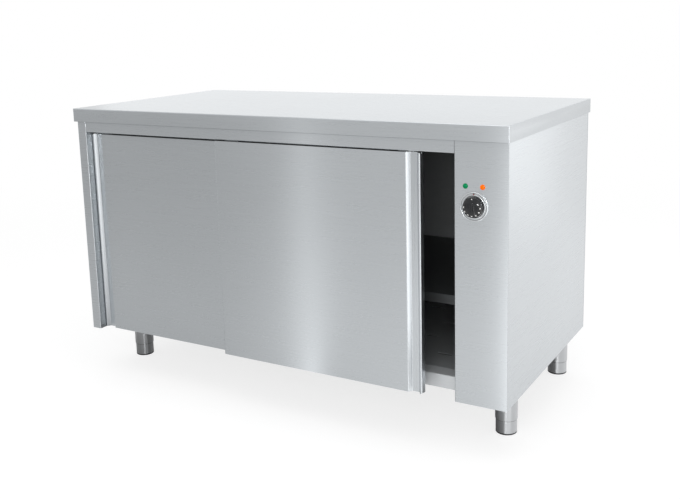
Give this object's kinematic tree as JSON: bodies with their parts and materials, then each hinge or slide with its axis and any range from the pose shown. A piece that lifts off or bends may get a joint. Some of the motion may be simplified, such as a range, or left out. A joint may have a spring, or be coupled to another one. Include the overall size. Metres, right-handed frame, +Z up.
{
  "type": "plate warmer cabinet",
  "caption": "Free-standing heated plate cabinet in satin steel sheet, with hanging sliding doors, an inner shelf, a thermostat column, pilot lamps and screw-adjustable round legs.",
  "frame": {"origin": "on the floor, under the middle of the worktop", "axes": "+X to the right as seen from the front, the doors face -Y, +Z up"},
  "size_m": [1.4, 0.727, 0.85],
  "materials": {
    "satin_steel": "satin ground stainless sheet",
    "inner_steel": "mill finish stainless sheet, dark in the unlit cavity",
    "track_steel": "galvanised rolled profile",
    "turned_steel": "turned and polished tube",
    "bright_metal": "polished",
    "heater_steel": "oxidised heater tube",
    "copper": "bare copper tube",
    "brass": "bright",
    "black_plastic": "gloss moulded",
    "dark_plastic": "matt moulded",
    "pale_plastic": "matt moulded",
    "nylon": "matt moulded nylon",
    "rubber": "matt",
    "green_lens": "clear gloss moulded",
    "orange_lens": "clear gloss moulded",
    "mineral_wool": "loose mineral wool slab"
  },
  "bodies": {
    "cabinet": {"worktop": "satin_steel", "worktop_stiffeners": "track_steel", "left_side_panel": "satin_steel", "right_side_panel": "satin_steel", "rear_panel": "satin_steel", "rear_panel_screws": "bright_metal", "control_panel": "satin_steel", "fascia": "satin_steel", "door_tracks": "track_steel", "track_buffers": "rubber", "cavity_ceiling": "inner_steel", "left_inner_wall": "inner_steel", "partition_wall": "inner_steel", "rear_inner_wall": "inner_steel", "bottom_pan": "track_steel", "front_rail": "satin_steel", "heater_cover": "inner_steel", "mid_shelf": "inner_steel", "shelf_supports": "inner_steel", "heating_elements": "heater_steel", "heater_brackets": "track_steel", "thermostat": "pale_plastic", "dial_bezel": "bright_metal", "green_lamp": "green_lens", "orange_lamp": "orange_lens", "temperature_sensor": "copper", "sensor_clips": "track_steel", "terminal_block": "pale_plastic", "cable_gland": "dark_plastic", "bonding_terminal": "brass", "leg_sleeves": "turned_steel", "guide_bracket": "track_steel", "guide_fins": "nylon"},
    "right_door": {"right_door_skin": "satin_steel", "right_door_grip": "satin_steel", "right_door_inner": "inner_steel", "right_door_core": "mineral_wool", "right_door_hangers": "track_steel", "right_door_axles": "track_steel"},
    "left_door": {"left_door_skin": "satin_steel", "left_door_grip": "satin_steel", "left_door_inner": "inner_steel", "left_door_core": "mineral_wool", "left_door_hangers": "track_steel", "left_door_axles": "track_steel"},
    "right_outer_rollers": {"right_door_outer_rollers": "nylon"},
    "right_inner_rollers": {"right_door_inner_rollers": "nylon"},
    "left_outer_rollers": {"left_door_outer_rollers": "nylon"},
    "left_inner_rollers": {"left_door_inner_rollers": "nylon"},
    "knob": {"knob": "black_plastic", "thermostat_shaft": "track_steel"},
    "front_left_foot": {"front_left_foot": "turned_steel", "front_left_pad": "dark_plastic"},
    "front_right_foot": {"front_right_foot": "turned_steel", "front_right_pad": "dark_plastic"},
    "rear_left_foot": {"rear_left_foot": "turned_steel", "rear_left_pad": "dark_plastic"},
    "rear_right_foot": {"rear_right_foot": "turned_steel", "rear_right_pad": "dark_plastic"}
  },
  "joints": [
    {"name": "right_door_slide", "type": "slide", "parent": "cabinet", "child": "right_door", "axis": [1, 0, 0], "range_m": [-0.496, 0.089]},
    {"name": "left_door_slide", "type": "slide", "parent": "cabinet", "child": "left_door", "axis": [1, 0, 0], "range_m": [0, 0.585]},
    {"name": "right_outer_roll", "type": "hinge", "parent": "right_door", "child": "right_outer_rollers", "pos_m": [0.423, -0.3235, 0.7928], "axis": [0, 1, 0], "range_deg": [-2370, 427]},
    {"name": "right_inner_roll", "type": "hinge", "parent": "right_door", "child": "right_inner_rollers", "pos_m": [-0.12, -0.3235, 0.7928], "axis": [0, 1, 0], "range_deg": [-2370, 427]},
    {"name": "left_outer_roll", "type": "hinge", "parent": "left_door", "child": "left_outer_rollers", "pos_m": [-0.616, -0.2985, 0.7928], "axis": [0, 1, 0], "range_deg": [0, 2795]},
    {"name": "left_inner_roll", "type": "hinge", "parent": "left_door", "child": "left_inner_rollers", "pos_m": [-0.073, -0.2985, 0.7928], "axis": [0, 1, 0], "range_deg": [0, 2795]},
    {"name": "knob_turn", "type": "hinge", "parent": "cabinet", "child": "knob", "pos_m": [0.609, -0.35, 0.651], "axis": [0, 1, 0], "range_deg": [0, 270]},
    {"name": "front_left_foot_screw", "type": "slide", "parent": "cabinet", "child": "front_left_foot", "axis": [0, 0, -1], "range_m": [0, 0.03]},
    {"name": "front_right_foot_screw", "type": "slide", "parent": "cabinet", "child": "front_right_foot", "axis": [0, 0, -1], "range_m": [0, 0.03]},
    {"name": "rear_left_foot_screw", "type": "slide", "parent": "cabinet", "child": "rear_left_foot", "axis": [0, 0, -1], "range_m": [0, 0.03]},
    {"name": "rear_right_foot_screw", "type": "slide", "parent": "cabinet", "child": "rear_right_foot", "axis": [0, 0, -1], "range_m": [0, 0.03]}
  ],
  "couplings": [
    {"joint": "right_outer_roll", "follows": "right_door_slide", "rad_per_m": 83.333},
    {"joint": "right_inner_roll", "follows": "right_door_slide", "rad_per_m": 83.333},
    {"joint": "left_outer_roll", "follows": "left_door_slide", "rad_per_m": 83.333},
    {"joint": "left_inner_roll", "follows": "left_door_slide", "rad_per_m": 83.333}
  ]
}
